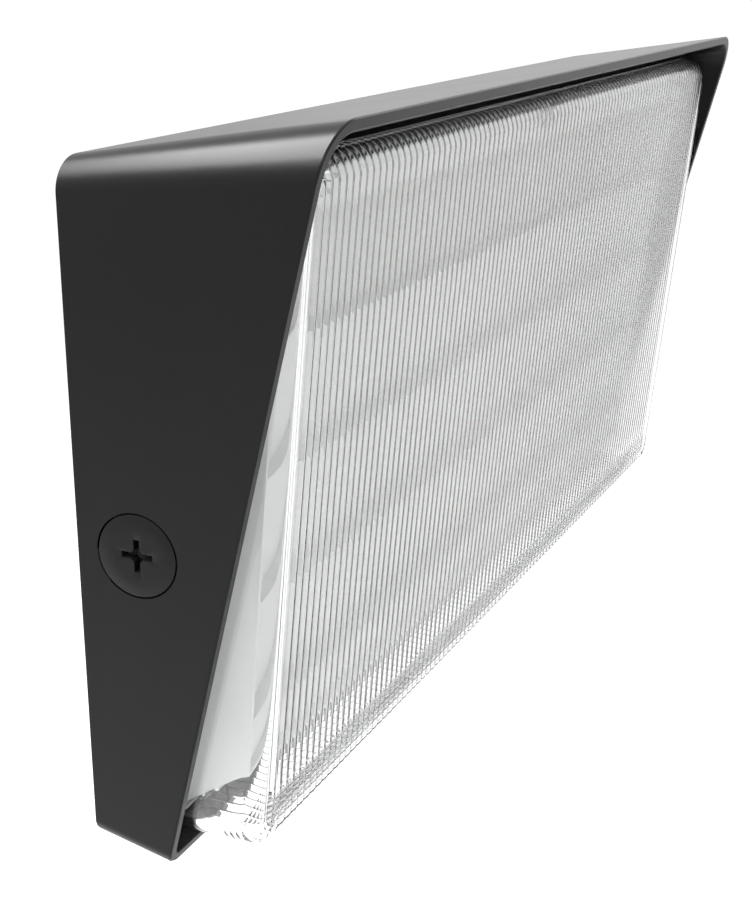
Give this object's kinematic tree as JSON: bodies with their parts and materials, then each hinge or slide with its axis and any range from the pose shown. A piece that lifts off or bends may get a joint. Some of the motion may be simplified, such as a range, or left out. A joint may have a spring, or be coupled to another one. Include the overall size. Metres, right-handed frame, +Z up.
{
  "type": "wall pack light",
  "caption": "Wall light with a deep-topped hood casting, a fluted clear lens tub over a stepped white reflector, and a wall plate whose hooks carry it.",
  "frame": {"origin": "middle of the wall plate's hole pattern, on the wall face", "axes": "+Z up, +X along the width to the right as seen facing +Y, +Y into the wall, the light faces -Y"},
  "size_m": [0.349, 0.0674, 0.1859],
  "materials": {
    "housing_paint": "matt black powder coat on die-cast aluminium",
    "lens_clear": "clear polycarbonate, fluted",
    "silicone": "moulded silicone",
    "black_rubber": "matt rubber",
    "reflector_white": "white moulded plastic, satin",
    "bright_steel": "zinc plated steel",
    "black_steel": "blackened steel",
    "bare_aluminium": "mill finish extrusion",
    "board_white": "white solder mask on aluminium board",
    "phosphor": "phosphor under clear resin",
    "driver_case": "white moulded case",
    "board_green": "green circuit board",
    "terminal_plastic": "natural nylon",
    "surge_plastic": "dark blue potted case",
    "lead_black": "black jacket",
    "lead_white": "white jacket",
    "plate_zinc": "galvanised steel",
    "ground_green": "green anodised steel screw",
    "foam": "closed cell foam"
  },
  "bodies": {
    "wall_plate": {"wall_plate": "plate_zinc", "ground_screw": "ground_green"},
    "housing": {"housing": "housing_paint", "lens": "lens_clear", "lens_gasket": "silicone", "lens_screws": "bright_steel", "reflector": "reflector_white", "reflector_screws": "bright_steel", "led_bracket": "bare_aluminium", "led_boards": "board_white", "led_emitters": "phosphor", "led_board_screws": "bright_steel", "bracket_screws": "bright_steel", "driver_base": "driver_case", "driver_lid": "driver_case", "driver_board": "board_green", "driver_screws": "bright_steel", "terminal_block": "terminal_plastic", "surge_module": "surge_plastic", "rear_grommet": "black_rubber", "supply_lead": "lead_black", "driver_lead": "lead_black", "led_lead": "lead_white", "wall_gasket": "foam", "wall_pads": "foam"},
    "left_plug_seal": {"left_plug_seal": "black_rubber"},
    "left_plug": {"left_plug": "housing_paint"},
    "right_plug_seal": {"right_plug_seal": "black_rubber"},
    "right_plug": {"right_plug": "housing_paint"},
    "left_screw_seal": {"left_screw_seal": "black_rubber"},
    "left_closing_screw": {"left_closing_screw": "black_steel"},
    "right_screw_seal": {"right_screw_seal": "black_rubber"},
    "right_closing_screw": {"right_closing_screw": "black_steel"}
  },
  "joints": [
    {"name": "housing_swing", "type": "hinge", "parent": "wall_plate", "child": "housing", "pos_m": [0, -0.00355, 0.079], "axis": [-1, 0, 0], "range_deg": [0, 20]},
    {"name": "left_plug_slide", "type": "slide", "parent": "housing", "child": "left_plug_seal", "axis": [-0.9976, -0.0691, 0], "range_m": [0, 0.008]},
    {"name": "left_plug_turn", "type": "hinge", "parent": "left_plug_seal", "child": "left_plug", "pos_m": [-0.17339, -0.0185, -0.0054], "axis": [-0.9976, -0.0691, 0], "range_deg": [0, 1588]},
    {"name": "left_screw_slide", "type": "slide", "parent": "housing", "child": "left_screw_seal", "axis": [0, 0, 1], "range_m": [0, 0.005]},
    {"name": "left_screw_turn", "type": "hinge", "parent": "left_screw_seal", "child": "left_closing_screw", "pos_m": [-0.06, -0.006, -0.0871], "axis": [0, 0, 1], "range_deg": [0, 2572]},
    {"name": "right_plug_slide", "type": "slide", "parent": "housing", "child": "right_plug_seal", "axis": [0.9976, -0.0691, 0], "range_m": [0, 0.008]},
    {"name": "right_plug_turn", "type": "hinge", "parent": "right_plug_seal", "child": "right_plug", "pos_m": [0.17339, -0.0185, -0.0054], "axis": [0.9976, -0.0691, 0], "range_deg": [0, 1588]},
    {"name": "right_screw_slide", "type": "slide", "parent": "housing", "child": "right_screw_seal", "axis": [0, 0, 1], "range_m": [0, 0.005]},
    {"name": "right_screw_turn", "type": "hinge", "parent": "right_screw_seal", "child": "right_closing_screw", "pos_m": [0.06, -0.006, -0.0871], "axis": [0, 0, 1], "range_deg": [0, 2572]}
  ],
  "couplings": [
    {"joint": "left_plug_turn", "follows": "left_plug_slide", "rad_per_m": 3463.7},
    {"joint": "left_screw_turn", "follows": "left_screw_slide", "rad_per_m": 8976},
    {"joint": "right_plug_turn", "follows": "right_plug_slide", "rad_per_m": 3463.7},
    {"joint": "right_screw_turn", "follows": "right_screw_slide", "rad_per_m": 8976}
  ]
}
